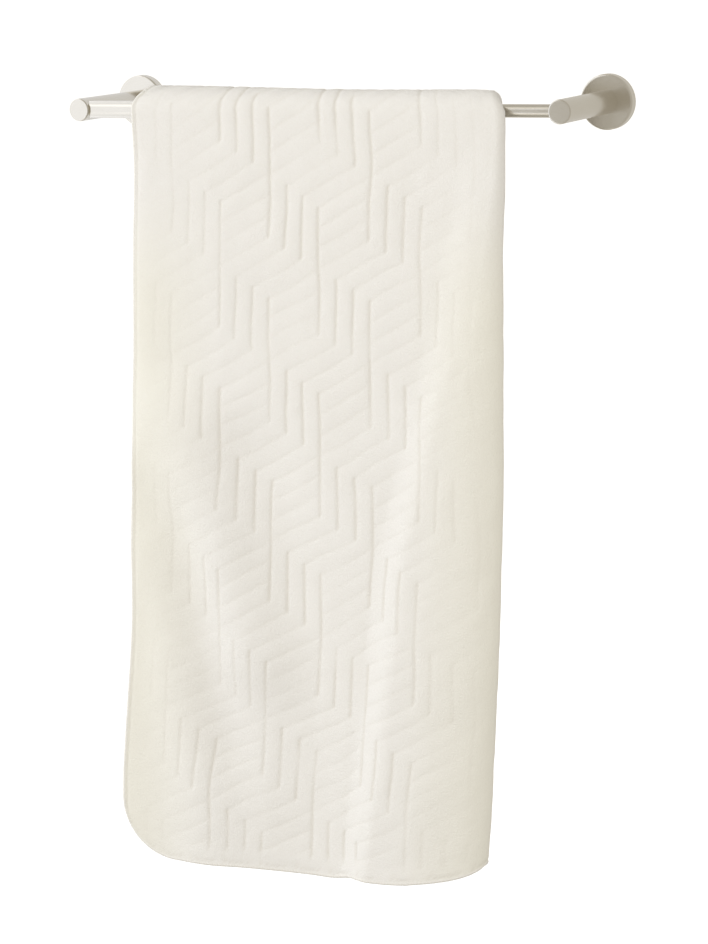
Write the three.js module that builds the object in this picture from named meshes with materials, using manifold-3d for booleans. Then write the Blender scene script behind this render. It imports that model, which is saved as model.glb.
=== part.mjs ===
// A plush bath towel, folded once lengthwise and hung over a wall bar with two posts.
// Millimetres. +X runs along the bar, +Y goes into the wall and +Z is up. The origin lies on
// the wall, midway between the two wall plates, at the height of the bar.

import * as THREE from 'three';
import { mergeVertices } from 'three/addons/utils/BufferGeometryUtils.js';
import Module from 'manifold-3d';

const wasm = await Module();
wasm.setup();

// The gap between pieces that touch on the real object
const SEAT = 0.3;

// Wall plates and posts
const POST_SPAN = 457;
const PLATE_RADIUS = 23.5;
const PLATE_DEPTH = 10;
const PLATE_ROUND = 1.2;
const POST_RADIUS = 10;
const POST_REACH = 115;
const POST_ROUND = 1;

// The bar: a wide tube from the left post, and a slim one that slides out of it
const BAR_OUT = 105;
const WIDE_RADIUS = 7.75;
const SLIM_RADIUS = 5.5;
const WIDE_END_X = 148;
const WIDE_TAPER = 8;
const WIDE_LIP_RADIUS = 6.6;
const SOCKET_DEPTH = 25;
const POST_SOCKET = 6;

// The cloth, cut flat
const CLOTH_WIDTH = 711;
const CLOTH_LENGTH = 1372;
const CLOTH_CORNER = 54;
const CLOTH_THICK = 4.4;
const BINDING_WIDTH = 4.4;
const BINDING_THICK = 4.4;
const BINDING_FLAT = 0.62;
const BINDING_NOSE = 0.4;

// How its length is shared between the front panel, the bar and the back panel
const FRONT_RUN = 672;
const BAR_RUN = 40;
const BACK_RUN = CLOTH_LENGTH - FRONT_RUN - BAR_RUN;

// The fold lies at half the width, and the cloth stops short of the cut edge by its binding
const FOLD = CLOTH_WIDTH / 2;
const SEAM_GAP = 0.6;
const CLOTH_INSET = BINDING_WIDTH + SEAM_GAP;

// Raised ribs: the grooves between them follow a grid of upright lines RIB_ACROSS apart and of
// slanting ones RIB_DOWN apart, which rise by SLANT to the right. The grid starts GRID_LEFT
// beyond the free edge, and its first slanting line meets that edge at GRID_FROM.
const RIB_ACROSS = 16;
const RIB_DOWN = 17.74;
const GRID_LEFT = 6.5;
const GRID_FROM = 706.2;
const SLANT = 0.537;
const GROOVE_DEPTH = 1.6;
const REPEAT = 9;

// The stretches of each grid line that are grooves, counted in steps of the grid within one repeat.
// One row for each of the three lines that follow one another.
const UPRIGHT_GROOVES = [
  [{ from: 0, to: 3 }, { from: 6, to: 9 }],
  [{ from: 1, to: 4 }],
  [{ from: 2, to: 5 }],
];
const SLANTED_GROOVES = [
  [{ from: 0, to: 3 }, { from: 6, to: 9 }],
  [{ from: 1, to: 4 }, { from: 6, to: 9 }],
  [{ from: 2, to: 5 }, { from: 6, to: 9 }],
];

// How the front panel hangs, at each drop below the bar. Along the bar: its free edge on the
// left, the foot and the shoulder of the slope up to the loop of the fold, the crest of that
// loop, and the turn of the fold on the right. Outwards: how far the loop swells out and in,
// how far the two layers are apart, how much further they gape at the free edge, and how far
// the panel stands off from the bar's line.
const FRONT_HANG = {
  drop: [0, 45, 120, 225, 315, 385, 460, 560, 612, 683],
  left: [-168.5, -169, -175, -180.5, -184.5, -186.5, -189.5, -200.5, -205.5, -206.5],
  foot: [150, 140, 122, 98, 74, 56, 46, 32, 24, 12],
  shoulder: [174, 168, 156, 134, 110, 94, 84, 70, 62, 50],
  crest: [177.5, 175, 164, 147, 127, 115, 107, 100, 96, 90],
  right: [179.5, 179.3, 176, 175.5, 174.5, 172.3, 168.6, 163.7, 160.2, 154],
  out: [0, 1.8, 4, 7.5, 10, 12, 14, 15, 15.5, 16],
  in: [0, 1, 2.5, 5, 8, 9, 10, 11, 11.5, 12],
  apart: [4.9, 5.1, 5.6, 6.1, 6.4, 6.6, 6.8, 7, 7, 7],
  gape: [3.6, 3, 1.4, 0.3, 0, 0, 0, 0, 0, 0],
  sway: [0, 0.4, 1.7, 4, 6, 7.6, 9.6, 12.5, 14, 16],
};

// The back panel in the same terms, where outwards is towards the wall
const BACK_HANG = {
  drop: [0, 45, 120, 245, 390, 530, 670],
  left: [-180, -181, -184, -188, -193, -201, -206],
  foot: [146, 142, 125, 97, 67, 42, 17],
  shoulder: [162, 160, 153, 142, 126, 113, 98],
  crest: [164, 163, 155, 142, 126, 113, 98],
  right: [166.5, 167, 162.5, 158, 152, 143, 130],
  out: [0, 1, 3, 6, 9, 11, 12],
  in: [0, 0.8, 2, 3, 4, 5, 5],
  apart: [4.9, 5.1, 5.6, 6, 6.4, 6.8, 7],
  gape: [3.6, 3, 1.4, 0.2, 0, 0, 0],
  sway: [0, 0.3, 1, 2.5, 4.5, 6.5, 8],
};

// How far each hem hangs below the bar, from the free edge (across 0) to the fold (across 1)
const FRONT_HEM = {
  across: [0, 0.18, 0.35, 0.53, 0.59, 0.65, 0.76, 0.84, 0.91, 1],
  drop: [683, 681, 679.5, 679, 678, 672, 669, 664.5, 657, 643],
};
const BACK_HEM = {
  across: [0, 0.5, 0.88, 1],
  drop: [675, 674, 673, 664],
};

// Soft creases of each panel. Each runs from its top to its foot as a trough or, with a
// positive rise, a ridge, and fades out over FADE at both ends and over CREASE_STOP before the
// loop of the fold.
const FADE = 70;
const CREASE_STOP = 30;
const FRONT_CREASES = [
  { topX: -186, topDrop: 0, footX: -192, footDrop: 330, half: 17, rise: -6 },
  { topX: -166, topDrop: 330, footX: -108, footDrop: 740, half: 32, rise: 5.5 },
  { topX: -152, topDrop: 310, footX: -78, footDrop: 630, half: 27, rise: -6 },
  { topX: -152, topDrop: 210, footX: -42, footDrop: 540, half: 38, rise: 8.5 },
  { topX: -62, topDrop: 240, footX: -4, footDrop: 570, half: 40, rise: -5 },
  { topX: -12, topDrop: 500, footX: -12, footDrop: 790, half: 44, rise: -5 },
];
const BACK_CREASES = [
  { topX: -50, topDrop: 120, footX: -85, footDrop: 740, half: 42, rise: 4.5 },
  { topX: 45, topDrop: 90, footX: 62, footDrop: 740, half: 36, rise: -4 },
  { topX: -150, topDrop: 260, footX: -160, footDrop: 740, half: 30, rise: -3.5 },
];

// Finishes
const CLOTH_COLOUR = 0xf3efe4;
const BINDING_COLOUR = 0xf8f5ec;
const STEEL_COLOUR = 0xb9b1a2;

function lerp(from, to, share) {
  return from + (to - from) * share;
}

function ease(value) {
  const share = Math.min(Math.max(value, 0), 1);
  return share * share * (3 - 2 * share);
}

function modulo(value, size) {
  return ((value % size) + size) % size;
}

// One column of a table at a place between its rows, on a smooth curve through them
function column(table, key, place, name) {
  const keys = table[key];
  const values = table[name];
  const last = keys.length - 1;
  let low = 0;
  while (low < last - 1 && keys[low + 1] < place) low += 1;
  const high = low + 1;
  const before = Math.max(low - 1, 0);
  const after = Math.min(low + 2, last);
  const span = keys[high] - keys[low];
  const t = (place - keys[low]) / span;
  const slopeLow = (values[high] - values[before]) / (keys[high] - keys[before]) * span;
  const slopeHigh = (values[after] - values[low]) / (keys[after] - keys[low]) * span;
  if (t <= 0) return values[low];
  if (t >= 1) return values[high];
  const t2 = t * t;
  const t3 = t2 * t;
  return (2 * t3 - 3 * t2 + 1) * values[low] + (t3 - 2 * t2 + t) * slopeLow
    + (3 * t2 - 2 * t3) * values[high] + (t3 - t2) * slopeHigh;
}

// The height of all creases at one point of a panel
function creaseHeight(creases, x, drop) {
  let height = 0;
  for (const crease of creases) {
    const share = (drop - crease.topDrop) / (crease.footDrop - crease.topDrop);
    const centre = lerp(crease.topX, crease.footX, share);
    const fade = ease((drop - crease.topDrop) / FADE) * ease((crease.footDrop - drop) / FADE);
    height += crease.rise * fade * Math.exp(-(((x - centre) / crease.half) ** 2));
  }
  return height;
}

// Where the cloth goes round the bar it is made of flats, so its gap is a little larger
const BAR_STEPS = 10;
const FLAT_SPARE = 0.1;
const FLATS_RADIUS = (WIDE_RADIUS + SEAT) / Math.cos(Math.PI / BAR_STEPS / 2);
const ROUND_GAP = FLATS_RADIUS - WIDE_RADIUS + FLAT_SPARE;

// The stiff doubled cloth reaches past the end of the wide tube, and sinks only a little there
const SINK_FROM_X = 146;
const SINK_RUN = 34;
const SINK = 1.4;

// How far the middle of the two layers lies from the bar's axis
function barRadius(x) {
  const tube = WIDE_RADIUS - SINK * ease((x - SINK_FROM_X) / SINK_RUN);
  return tube + ROUND_GAP + CLOTH_THICK + (FRONT_HANG.apart[0] - CLOTH_THICK) / 2;
}

// The loop falls away from its crest sooner than an ellipse would
const CREST_POWER = 4 / 3;

// The outer layer comes down to the inner one over this distance from the free edge
const GAPE_RUN = 230;

// The plan of one panel at one height: where a point that lies across the outer or the inner
// layer is, along the bar and outwards from the middle of the panel. Each layer runs flat to
// the foot of its slope, up to its shoulder, level to the crest, and then round to the turn of
// the fold.
function planPoint(hang, outer, across) {
  const centre = (hang.out - hang.in) / 2;
  const swell = outer ? hang.out : hang.in;
  const flat = hang.apart / 2;
  const depth = flat + swell + (outer ? -centre : centre);
  const turn = hang.right - hang.crest;
  const straight = hang.crest - hang.left;
  const round = Math.PI / 2 * Math.sqrt((turn * turn + depth * depth) / 2);
  const distance = across * (straight + round);
  const side = outer ? 1 : -1;
  if (distance <= straight) {
    const x = hang.left + distance;
    const rise = swell * ease((x - hang.foot) / (hang.shoulder - hang.foot));
    const gape = outer ? hang.gape * (1 - ease((x - hang.left) / GAPE_RUN)) : 0;
    return { x, out: side * (flat + rise + gape) };
  }
  const angle = (distance - straight) / round * Math.PI / 2;
  return {
    x: hang.crest + turn * Math.sin(angle) ** CREST_POWER,
    out: centre + side * depth * Math.cos(angle),
  };
}

const HANG_NAMES = [
  'left', 'foot', 'shoulder', 'crest', 'right', 'out', 'in', 'apart', 'gape', 'sway',
];

function hangAt(table, drop) {
  const hang = {};
  for (const name of HANG_NAMES) hang[name] = column(table, 'drop', drop, name);
  return hang;
}

// On top of the bar the ends of the two layers are drawn in, which rounds the panel's shoulders
const EDGE_DRAWN = { outer: 16, inner: 8 };
const FOLD_DRAWN = 4;

function hangOverBar(overBar, outer) {
  const hang = {};
  for (const name of HANG_NAMES) {
    hang[name] = lerp(FRONT_HANG[name][0], BACK_HANG[name][0], overBar);
  }
  const high = Math.sin(overBar * Math.PI) ** 2;
  hang.left += high * (outer ? EDGE_DRAWN.outer : EDGE_DRAWN.inner);
  hang.crest -= high * FOLD_DRAWN;
  hang.right -= high * FOLD_DRAWN;
  return hang;
}

// The middle of the cloth at a distance along its width and its length, both from the corner
// of the cut sheet that hangs at the front's free edge
function clothPoint(width, length) {
  const outer = width <= FOLD;
  const across = (outer ? width : CLOTH_WIDTH - width) / FOLD;
  const overBar = (length - FRONT_RUN) / BAR_RUN;
  if (overBar >= 0 && overBar <= 1) {
    const point = planPoint(hangOverBar(overBar, outer), outer, across);
    const radius = barRadius(point.x) + point.out;
    const angle = overBar * Math.PI;
    return new THREE.Vector3(
      point.x, -BAR_OUT - radius * Math.cos(angle), radius * Math.sin(angle),
    );
  }
  const front = overBar < 0;
  const run = front ? (FRONT_RUN - length) / FRONT_RUN : (length - FRONT_RUN - BAR_RUN) / BACK_RUN;
  const drop = column(front ? FRONT_HEM : BACK_HEM, 'across', across, 'drop') * run;
  const hang = hangAt(front ? FRONT_HANG : BACK_HANG, drop);
  const point = planPoint(hang, outer, across);
  const nearFold = ease((hang.crest - point.x) / CREASE_STOP);
  const crease = creaseHeight(front ? FRONT_CREASES : BACK_CREASES, point.x, drop) * nearFold;
  const out = barRadius(point.x) + hang.sway + point.out + crease;
  return new THREE.Vector3(point.x, -BAR_OUT + (front ? -out : out), -drop);
}

// The cloth's own directions at a point: along its width, along its length, and out of the
// face that shows
const FRAME_STEP = 0.4;

function clothFrame(width, length) {
  const alongWidth = clothPoint(width + FRAME_STEP, length)
    .sub(clothPoint(width - FRAME_STEP, length));
  const alongLength = clothPoint(width, length + FRAME_STEP)
    .sub(clothPoint(width, length - FRAME_STEP));
  const out = alongWidth.clone().cross(alongLength).normalize();
  return { alongWidth: alongWidth.normalize(), alongLength: alongLength.normalize(), out };
}

// Whether a point of the grid of grooves, counted in its steps, lies on a groove
function inGroove(right, down) {
  const inRuns = (runs, place) => runs.some((run) => {
    const phase = modulo(place, REPEAT);
    return (phase >= run.from && phase <= run.to) || (phase === 0 && run.to === REPEAT);
  });
  if (Number.isInteger(right)) {
    const line = modulo(right, UPRIGHT_GROOVES.length);
    if (inRuns(UPRIGHT_GROOVES[line], down + right - line)) return true;
  }
  if (Number.isInteger(down)) {
    const line = modulo(down, SLANTED_GROOVES.length);
    if (inRuns(SLANTED_GROOVES[line], right + down - line)) return true;
  }
  return false;
}

// Columns of points across the cloth. The ribbed ones stand half a step apart on the outer
// layer. The plain ones stand closer at the corners and at the turn of the fold.
const PLAIN_FROM = 22;
const PLAIN_TO = 337;
const PLAIN_PITCH = 23;
const RIBBED_FROM = 3;
const RIBBED_TO = 43;
const CORNER_COLUMNS = [CLOTH_INSET, 6.2, 9, 12];
const TURN_COLUMNS = [343.5, 350.5, 354];

function plainColumns() {
  const half = [...CORNER_COLUMNS];
  for (let width = PLAIN_FROM; width < PLAIN_TO; width += PLAIN_PITCH) half.push(width);
  half.push(...TURN_COLUMNS);
  const mirrored = half.map((width) => CLOTH_WIDTH - width).reverse();
  return [...half, FOLD, ...mirrored];
}

function faceColumns() {
  const plain = plainColumns();
  const columns = CORNER_COLUMNS.map((width) => ({ width }));
  for (let index = RIBBED_FROM; index <= RIBBED_TO; index += 1) {
    const grooved = index > RIBBED_FROM && index < RIBBED_TO;
    columns.push({ width: index / 2 * RIB_ACROSS - GRID_LEFT, right: index / 2, grooved });
  }
  for (const width of plain.filter((value) => value >= TURN_COLUMNS[0])) columns.push({ width });
  return columns;
}

// Rows of points along the cloth, front hem to back hem. Below RIB_TOP the ribbed columns have
// rows of their own, half a step apart.
const RIB_TOP = FRONT_RUN - RIB_DOWN / 2;
const GRID_ROWS = 104;
const FRONT_ROWS = [20, 57, 110, 175, 240, 305, 370, 435, 500, 560, 620];
const BACK_ROWS = [14, 50, 120, 210, 300, 390, 480, 560, 620];
const LEAST_STEP = 3;
const ON_GRID = 0.01;

// How far from the end of the sheet the cloth starts, which is more at its rounded corners
function hemStart(width) {
  const fromEdge = Math.min(width, CLOTH_WIDTH - width) - CLOTH_INSET;
  const radius = CLOTH_CORNER - CLOTH_INSET;
  if (fromEdge >= radius) return CLOTH_INSET;
  return CLOTH_INSET + radius - Math.sqrt(radius * radius - (radius - fromEdge) ** 2);
}

// Below RIB_TOP a column runs from the front hem up
function lowerLengths(entry) {
  const start = hemStart(entry.width);
  const rows = [...FRONT_ROWS];
  if (entry.right !== undefined) {
    rows.length = 0;
    const level = GRID_FROM + SLANT * entry.width;
    for (let index = GRID_ROWS; index > 0; index -= 1) rows.push(level - index / 2 * RIB_DOWN);
  }
  const inside = rows.filter((row) => row > start + LEAST_STEP && row < RIB_TOP - LEAST_STEP);
  return [start, ...inside, RIB_TOP];
}

// Above it one runs over the bar and down to the back hem
function upperLengths(entry) {
  const end = CLOTH_LENGTH - hemStart(entry.width);
  const lengths = [];
  for (let step = 0; step <= BAR_STEPS; step += 1) {
    lengths.push(FRONT_RUN + BAR_RUN * step / BAR_STEPS);
  }
  for (const row of BACK_ROWS) {
    const length = FRONT_RUN + BAR_RUN + row;
    if (length < end - LEAST_STEP) lengths.push(length);
  }
  return [...lengths, end];
}

// A closed skin of triangles, filled in by the functions below
class Skin {
  constructor() {
    this.positions = [];
    this.faces = [];
  }

  add(point) {
    this.positions.push(point.x, point.y, point.z);
    return this.positions.length / 3 - 1;
  }

  // Triangles between two lines of points, stepping along whichever line is behind
  zip(left, right, key, flip) {
    let i = 0;
    let j = 0;
    while (i < left.length - 1 || j < right.length - 1) {
      const leftEnds = i === left.length - 1;
      const rightEnds = j === right.length - 1;
      const leftFirst = leftEnds || rightEnds ? rightEnds
        : left[i + 1][key] <= right[j + 1][key] + ON_GRID;
      const corner = leftFirst ? left[i + 1] : right[j + 1];
      const face = [left[i].index, right[j].index, corner.index];
      this.faces.push(...(flip ? face.reverse() : face));
      if (leftFirst) {
        i += 1;
      } else {
        j += 1;
      }
    }
  }

  geometry() {
    const geometry = new THREE.BufferGeometry();
    geometry.setAttribute('position', new THREE.Float32BufferAttribute(this.positions, 3));
    geometry.setIndex(this.faces);
    return geometry;
  }
}

// One face of the cloth as two sets of columns, one below RIB_TOP and one above
function clothFace(skin, lowerColumns, side) {
  const toLine = (entry, lengths) => lengths.map((length) => {
    const frame = clothFrame(entry.width, length);
    const down = (GRID_FROM - length + SLANT * entry.width) / RIB_DOWN;
    const halfSteps = Math.round(down * 2) / 2;
    const onGrid = entry.grooved && Math.abs(down - halfSteps) < ON_GRID;
    const groove = onGrid && inGroove(entry.right, halfSteps) ? GROOVE_DEPTH : 0;
    const point = clothPoint(entry.width, length)
      .addScaledVector(frame.out, side * CLOTH_THICK / 2 - groove);
    return {
      index: skin.add(point),
      ribbed: entry.right !== undefined,
      width: entry.width,
      length,
      level: length - SLANT * entry.width,
    };
  });
  return {
    lower: lowerColumns.map((entry) => toLine(entry, lowerLengths(entry))),
    upper: plainColumns().map((width) => toLine({ width }, upperLengths({ width }))),
  };
}

const firstOf = (line) => line[0];
const lastOf = (line) => line[line.length - 1];

function skinColumns(skin, columns, flip) {
  for (let index = 0; index < columns.length - 1; index += 1) {
    const left = columns[index];
    const right = columns[index + 1];
    skin.zip(left, right, left[0].ribbed && right[0].ribbed ? 'level' : 'length', flip);
  }
}

function skinFace(skin, face, flip) {
  skinColumns(skin, face.lower, flip);
  skinColumns(skin, face.upper, flip);
  skin.zip(face.lower.map(lastOf), face.upper.map(firstOf), 'width', !flip);
}

// The four sides of a face: its hems, its free edge in front and the one folded behind
function sidesOf(face) {
  return {
    frontHem: face.lower.map(firstOf),
    backHem: face.upper.map(lastOf),
    freeEdge: [...face.lower[0], ...face.upper[0]],
    foldedEdge: [...lastOf(face.lower), ...lastOf(face.upper)],
  };
}

// The cloth is one closed skin: the face that shows, the face inside the fold, and the cut
// edges between them
function clothGeometry() {
  const skin = new Skin();
  const face = clothFace(skin, faceColumns(), 1);
  const lining = clothFace(skin, plainColumns().map((width) => ({ width })), -1);
  skinFace(skin, face, false);
  skinFace(skin, lining, true);
  const shown = sidesOf(face);
  const inside = sidesOf(lining);
  skin.zip(shown.freeEdge, inside.freeEdge, 'length', true);
  skin.zip(shown.foldedEdge, inside.foldedEdge, 'length', false);
  skin.zip(shown.frontHem, inside.frontHem, 'width', false);
  skin.zip(shown.backHem, inside.backHem, 'width', true);
  return { geometry: skin.geometry(), outline: outlineOf(shown) };
}

// The edge of the cloth, once round, as distances along its width and length
function outlineOf(sides) {
  return [
    ...sides.frontHem,
    ...sides.foldedEdge.slice(1, -1),
    ...sides.backHem.slice().reverse(),
    ...sides.freeEdge.slice(1, -1).reverse(),
  ];
}

// The direction in which the cut sheet ends at a point of its edge
function awayFromCloth(width, length) {
  const radius = CLOTH_CORNER - CLOTH_INSET;
  const nearX = width < FOLD ? CLOTH_INSET + radius : CLOTH_WIDTH - CLOTH_INSET - radius;
  const front = length < CLOTH_LENGTH / 2;
  const nearY = front ? CLOTH_INSET + radius : CLOTH_LENGTH - CLOTH_INSET - radius;
  const pastX = width < FOLD ? Math.min(width - nearX, 0) : Math.max(width - nearX, 0);
  const pastY = front ? Math.min(length - nearY, 0) : Math.max(length - nearY, 0);
  return new THREE.Vector2(pastX, pastY).normalize();
}

// The binding's section, outwards from the cloth and across its thickness: flat where it is
// sewn on, round on the outside
function bindingSection() {
  const back = CLOTH_INSET - BINDING_WIDTH;
  const half = BINDING_THICK / 2;
  return [
    { away: back, up: -half }, { away: back, up: half },
    { away: back + BINDING_WIDTH * BINDING_FLAT, up: half },
    { away: back + BINDING_WIDTH, up: half * BINDING_NOSE },
    { away: back + BINDING_WIDTH, up: -half * BINDING_NOSE },
    { away: back + BINDING_WIDTH * BINDING_FLAT, up: -half },
  ];
}

// The binding runs round the whole edge as one closed band
function bindingGeometry(outline) {
  const section = bindingSection();
  const skin = new Skin();
  const rings = outline.map(({ width, length }) => {
    const frame = clothFrame(width, length);
    const away = awayFromCloth(width, length);
    const outward = frame.alongWidth.clone().multiplyScalar(away.x)
      .addScaledVector(frame.alongLength, away.y).normalize();
    const edge = clothPoint(width, length);
    return section.map((corner) => skin.add(edge.clone()
      .addScaledVector(outward, corner.away).addScaledVector(frame.out, corner.up)));
  });
  rings.forEach((ring, index) => {
    const next = rings[(index + 1) % rings.length];
    ring.forEach((corner, side) => {
      const beside = (side + 1) % ring.length;
      skin.faces.push(corner, next[beside], next[side], corner, ring[beside], next[beside]);
    });
  });
  return skin.geometry();
}

// Round pieces are turned from a profile of radius and place along the axis
const PLATE_SIDES = 64;
const POST_SIDES = 48;
const TUBE_SIDES = 40;

function turned(profile, sides) {
  const points = profile.map(([radius, along]) => new THREE.Vector2(radius, along));
  return new THREE.LatheGeometry(points, sides);
}

function plateGeometry() {
  return turned([
    [0, -PLATE_DEPTH], [PLATE_RADIUS - PLATE_ROUND, -PLATE_DEPTH],
    [PLATE_RADIUS, PLATE_ROUND - PLATE_DEPTH], [PLATE_RADIUS, 0], [0, 0],
  ], PLATE_SIDES);
}

function postBlank() {
  return turned([
    [0, -POST_REACH], [POST_RADIUS - POST_ROUND, -POST_REACH],
    [POST_RADIUS, POST_ROUND - POST_REACH],
    [POST_RADIUS, -PLATE_DEPTH - SEAT], [0, -PLATE_DEPTH - SEAT],
  ], POST_SIDES);
}

function asSolid(geometry) {
  const bare = geometry.clone();
  bare.deleteAttribute('normal');
  bare.deleteAttribute('uv');
  const merged = mergeVertices(bare);
  return new wasm.Manifold(new wasm.Mesh({
    numProp: 3,
    vertProperties: new Float32Array(merged.attributes.position.array),
    triVerts: new Uint32Array(merged.index.array),
  }));
}

function fromSolid(solid) {
  const mesh = solid.getMesh();
  const geometry = new THREE.BufferGeometry();
  geometry.setAttribute('position', new THREE.Float32BufferAttribute(mesh.vertProperties, 3));
  geometry.setIndex(Array.from(mesh.triVerts));
  return geometry;
}

// A post with the socket for its tube, which opens towards the other post
function postGeometry(tubeRadius, direction) {
  const boreRadius = tubeRadius + SEAT;
  const bore = new THREE.CylinderGeometry(boreRadius, boreRadius, POST_RADIUS * 2, TUBE_SIDES);
  bore.rotateZ(Math.PI / 2);
  bore.translate(direction * (POST_RADIUS * 2 - POST_SOCKET), -BAR_OUT, 0);
  return fromSolid(asSolid(postBlank()).subtract(asSolid(bore)));
}

const TUBE_START = -POST_SPAN / 2 + POST_RADIUS - POST_SOCKET + SEAT;
const TUBE_END = POST_SPAN / 2 - POST_RADIUS + POST_SOCKET - SEAT;
const SOCKET_START = WIDE_END_X - SOCKET_DEPTH;

function wideTubeGeometry() {
  const bore = SLIM_RADIUS + SEAT;
  return turned([
    [0, TUBE_START], [WIDE_RADIUS, TUBE_START], [WIDE_RADIUS, WIDE_END_X - WIDE_TAPER],
    [WIDE_LIP_RADIUS, WIDE_END_X], [bore, WIDE_END_X], [bore, SOCKET_START], [0, SOCKET_START],
  ], TUBE_SIDES);
}

function slimTubeGeometry() {
  return turned([
    [0, SOCKET_START + SEAT], [SLIM_RADIUS, SOCKET_START + SEAT],
    [SLIM_RADIUS, TUBE_END], [0, TUBE_END],
  ], TUBE_SIDES);
}

function cloth(colour) {
  return new THREE.MeshStandardMaterial({ color: colour, roughness: 0.95, metalness: 0 });
}

function steel() {
  return new THREE.MeshStandardMaterial({ color: STEEL_COLOUR, roughness: 0.32, metalness: 1 });
}

const object = new THREE.Group();

function place(name, geometry, material, x = 0) {
  const mesh = new THREE.Mesh(geometry, material);
  mesh.name = name;
  mesh.position.x = x;
  object.add(mesh);
  return mesh;
}

// A tube is turned upright and laid along the bar
function placeTube(name, geometry) {
  const mesh = place(name, geometry, steel());
  mesh.position.y = -BAR_OUT;
  mesh.rotation.z = -Math.PI / 2;
}

const towel = clothGeometry();
place('bath_towel', towel.geometry, cloth(CLOTH_COLOUR));
place('edge_binding', bindingGeometry(towel.outline), cloth(BINDING_COLOUR));
place('rosette_left', plateGeometry(), steel(), -POST_SPAN / 2);
place('rosette_right', plateGeometry(), steel(), POST_SPAN / 2);
place('post_left', postGeometry(WIDE_RADIUS, 1), steel(), -POST_SPAN / 2);
place('post_right', postGeometry(SLIM_RADIUS, -1), steel(), POST_SPAN / 2);
placeTube('bar_tube_wide', wideTubeGeometry());
placeTube('bar_tube_slim', slimTubeGeometry());

export default object;
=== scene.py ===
import math

import bmesh
import bpy
import numpy as np
from mathutils import Matrix, Vector


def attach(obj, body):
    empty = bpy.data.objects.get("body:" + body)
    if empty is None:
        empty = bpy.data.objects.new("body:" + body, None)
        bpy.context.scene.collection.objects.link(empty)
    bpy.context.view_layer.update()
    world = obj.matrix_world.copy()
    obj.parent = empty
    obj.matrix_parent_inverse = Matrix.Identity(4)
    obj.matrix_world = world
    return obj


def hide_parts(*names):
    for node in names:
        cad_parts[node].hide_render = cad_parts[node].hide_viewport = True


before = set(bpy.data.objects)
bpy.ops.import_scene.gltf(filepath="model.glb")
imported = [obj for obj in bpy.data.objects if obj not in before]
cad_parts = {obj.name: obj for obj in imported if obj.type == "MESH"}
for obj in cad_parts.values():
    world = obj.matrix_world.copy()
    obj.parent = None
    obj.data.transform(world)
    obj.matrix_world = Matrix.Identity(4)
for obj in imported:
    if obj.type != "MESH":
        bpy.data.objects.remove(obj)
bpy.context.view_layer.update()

# Wall plates
# Two round plates of brushed nickel, flat against the wall, each with a softly broken rim.
# They carry the posts and are what the bar is screwed to the wall by.
MM = 0.001
MERGE = 0.01 * MM
POST_SPAN = 457
PLATE_RADIUS = 23.5
PLATE_DEPTH = 10
PLATE_ROUND = 1.4
PLATE_SIDES = 128
RIM_STEPS = 4
SHARP_ANGLE = math.radians(25)
FLAT_FROM = 1.5
FLAT_RUNS = 4
NICKEL_LIGHT = (0.74, 0.705, 0.63, 1)
NICKEL_DARK = (0.64, 0.6, 0.515, 1)
NICKEL_ROUGH = 0.2
ROUGH_SPREAD = 0.16
SCRATCH_SHARE = 0.7
CLOUD_SHARE = 0.3
SCRATCH_DEPTH = 0.04 * MM
ENDS = (("left", -POST_SPAN / 2), ("right", POST_SPAN / 2))

# +Z of a turned piece laid out from the wall, and along the bar
OUT_FROM_WALL = Matrix.Rotation(math.pi / 2, 4, "X")
ALONG_BAR = Matrix.Rotation(math.pi / 2, 4, "Y")


def held_flat(profile, rim):
    """The profile with a point beside each corner, so that what lies between stays flat."""
    points = []
    for start, end in zip(profile, profile[1:]):
        points.append(start)
        run = math.dist(start, end)
        beside = FLAT_FROM * rim / run
        if run > FLAT_RUNS * rim:
            for share in (beside, 1 - beside):
                points.append(tuple(a + (b - a) * share for a, b in zip(start, end)))
    return points + [profile[-1]]


def turned(name, profile, sides, rim, lay, place):
    """A piece turned from its profile of (radius, height) and laid in its place."""
    bm = bmesh.new()
    held = held_flat(profile, rim)
    points = [bm.verts.new((radius * MM, 0, height * MM)) for radius, height in held]
    edges = [bm.edges.new(pair) for pair in zip(points, points[1:])]
    bmesh.ops.spin(
        bm, geom=points + edges, cent=(0, 0, 0), axis=(0, 0, 1), angle=2 * math.pi,
        steps=sides, use_merge=True,
    )
    bmesh.ops.remove_doubles(bm, verts=bm.verts, dist=MERGE)
    bmesh.ops.recalc_face_normals(bm, faces=bm.faces)
    rims = [edge for edge in bm.edges if edge.calc_face_angle(0) > SHARP_ANGLE]
    bmesh.ops.bevel(
        bm, geom=rims, offset=rim * MM, segments=RIM_STEPS, profile=0.5,
        affect="EDGES", material=-1,
    )
    bmesh.ops.transform(bm, matrix=Matrix.Translation(place) @ lay, verts=bm.verts)
    return finished(name, bm)


def finished(name, bm):
    """The mesh as an object of the scene, shaded smooth."""
    mesh = bpy.data.meshes.new(name)
    for face in bm.faces:
        face.smooth = True
    bm.to_mesh(mesh)
    bm.free()
    piece = bpy.data.objects.new(name, mesh)
    bpy.context.scene.collection.objects.link(piece)
    return piece


class Wire:
    """A socket of a shader whose sums are written as Python expressions."""

    def __init__(self, finish, socket):
        self.finish = finish
        self.socket = socket

    def sum_with(self, operation, first, second):
        return self.finish.node("ShaderNodeMath", {"operation": operation}, [first, second])

    def __add__(self, other):
        return self.sum_with("ADD", self, other)

    __radd__ = __add__

    def __rsub__(self, other):
        return self.sum_with("SUBTRACT", other, self)

    def __mul__(self, other):
        return self.sum_with("MULTIPLY", self, other)

    __rmul__ = __mul__


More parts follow.
